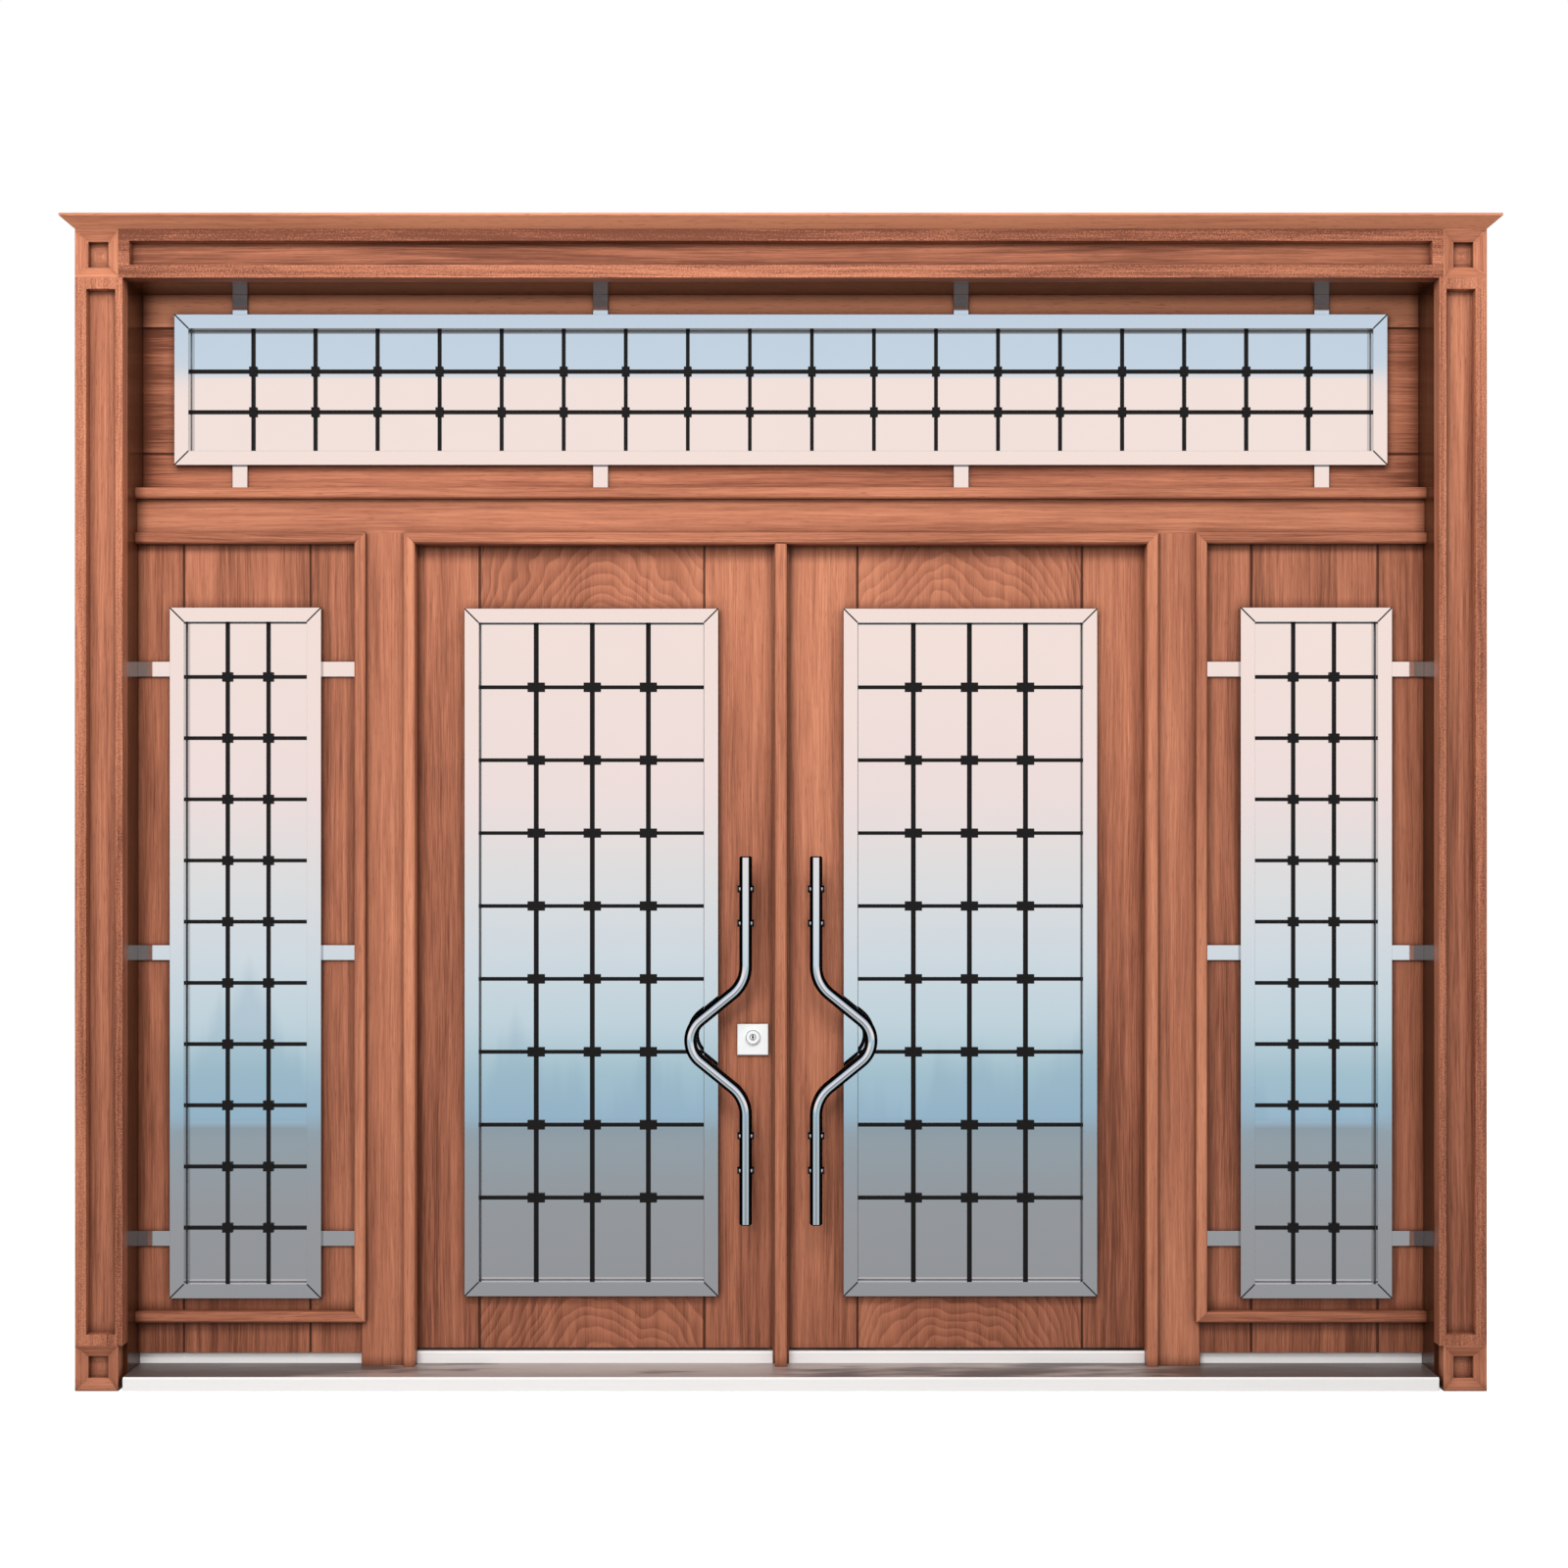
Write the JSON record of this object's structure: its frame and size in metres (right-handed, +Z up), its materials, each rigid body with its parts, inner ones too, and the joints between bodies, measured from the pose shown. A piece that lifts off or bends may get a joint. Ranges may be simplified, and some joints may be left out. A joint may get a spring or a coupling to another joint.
{
  "type": "steel entrance door set",
  "caption": "Cased steel entrance door with wood-grain finish: a pair of inward-opening glazed leaves between sidelights, under a transom light, with bent pull handles",
  "frame": {"origin": "middle of the threshold's underside, below the outer face of the mullions", "axes": "+X to the right seen from outside, +Y into the house, +Z up"},
  "size_m": [3.59, 0.301, 2.937],
  "materials": {
    "wood_grain_steel": "wood-grain transfer print, satin",
    "stainless_steel": "polished stainless steel",
    "mirror_glass": "mirror-coated glass",
    "black_grille": "black satin paint",
    "sill_steel": "stainless steel, fine brush"
  },
  "bodies": {
    "frame": {"threshold": "sill_steel", "head_jamb": "wood_grain_steel", "head_casing": "wood_grain_steel", "cornice": "wood_grain_steel", "transom_rail": "wood_grain_steel", "transom_bead": "wood_grain_steel", "door_moulding": "wood_grain_steel", "centre_post": "wood_grain_steel", "transom_panel": "wood_grain_steel", "transom_glass": "mirror_glass", "transom_glass_frame": "stainless_steel", "transom_grille": "black_grille", "transom_straps": "stainless_steel", "left_jamb": "wood_grain_steel", "right_jamb": "wood_grain_steel", "left_pilaster": "wood_grain_steel", "right_pilaster": "wood_grain_steel", "left_plinth_block": "wood_grain_steel", "right_plinth_block": "wood_grain_steel", "left_corner_block": "wood_grain_steel", "right_corner_block": "wood_grain_steel", "left_mullion": "wood_grain_steel", "right_mullion": "wood_grain_steel", "left_sidelight_bead": "wood_grain_steel", "right_sidelight_bead": "wood_grain_steel", "left_sidelight_panel": "wood_grain_steel", "right_sidelight_panel": "wood_grain_steel", "left_sidelight_glass": "mirror_glass", "right_sidelight_glass": "mirror_glass", "left_sidelight_glass_frame": "stainless_steel", "right_sidelight_glass_frame": "stainless_steel", "left_sidelight_grille": "black_grille", "right_sidelight_grille": "black_grille", "left_sidelight_straps": "stainless_steel", "right_sidelight_straps": "stainless_steel", "left_hinge_pins": "stainless_steel", "right_hinge_pins": "stainless_steel"},
    "left_leaf": {"left_leaf": "wood_grain_steel", "left_leaf_glass": "mirror_glass", "left_leaf_glass_frame": "stainless_steel", "left_leaf_grille": "black_grille", "left_pull_handle": "stainless_steel", "left_hinge_knuckles": "stainless_steel", "lock_plate": "stainless_steel", "lock_cylinder": "stainless_steel", "inside_lever": "stainless_steel"},
    "right_leaf": {"right_leaf": "wood_grain_steel", "right_leaf_glass": "mirror_glass", "right_leaf_glass_frame": "stainless_steel", "right_leaf_grille": "black_grille", "right_pull_handle": "stainless_steel", "right_hinge_knuckles": "stainless_steel"}
  },
  "joints": [
    {"name": "left_leaf_hinge", "type": "hinge", "parent": "frame", "child": "left_leaf", "pos_m": [-0.959, 0.113, 0], "axis": [0, 0, 1], "range_deg": [0, 100]},
    {"name": "right_leaf_hinge", "type": "hinge", "parent": "frame", "child": "right_leaf", "pos_m": [0.959, 0.113, 0], "axis": [0, 0, -1], "range_deg": [0, 100]}
  ]
}
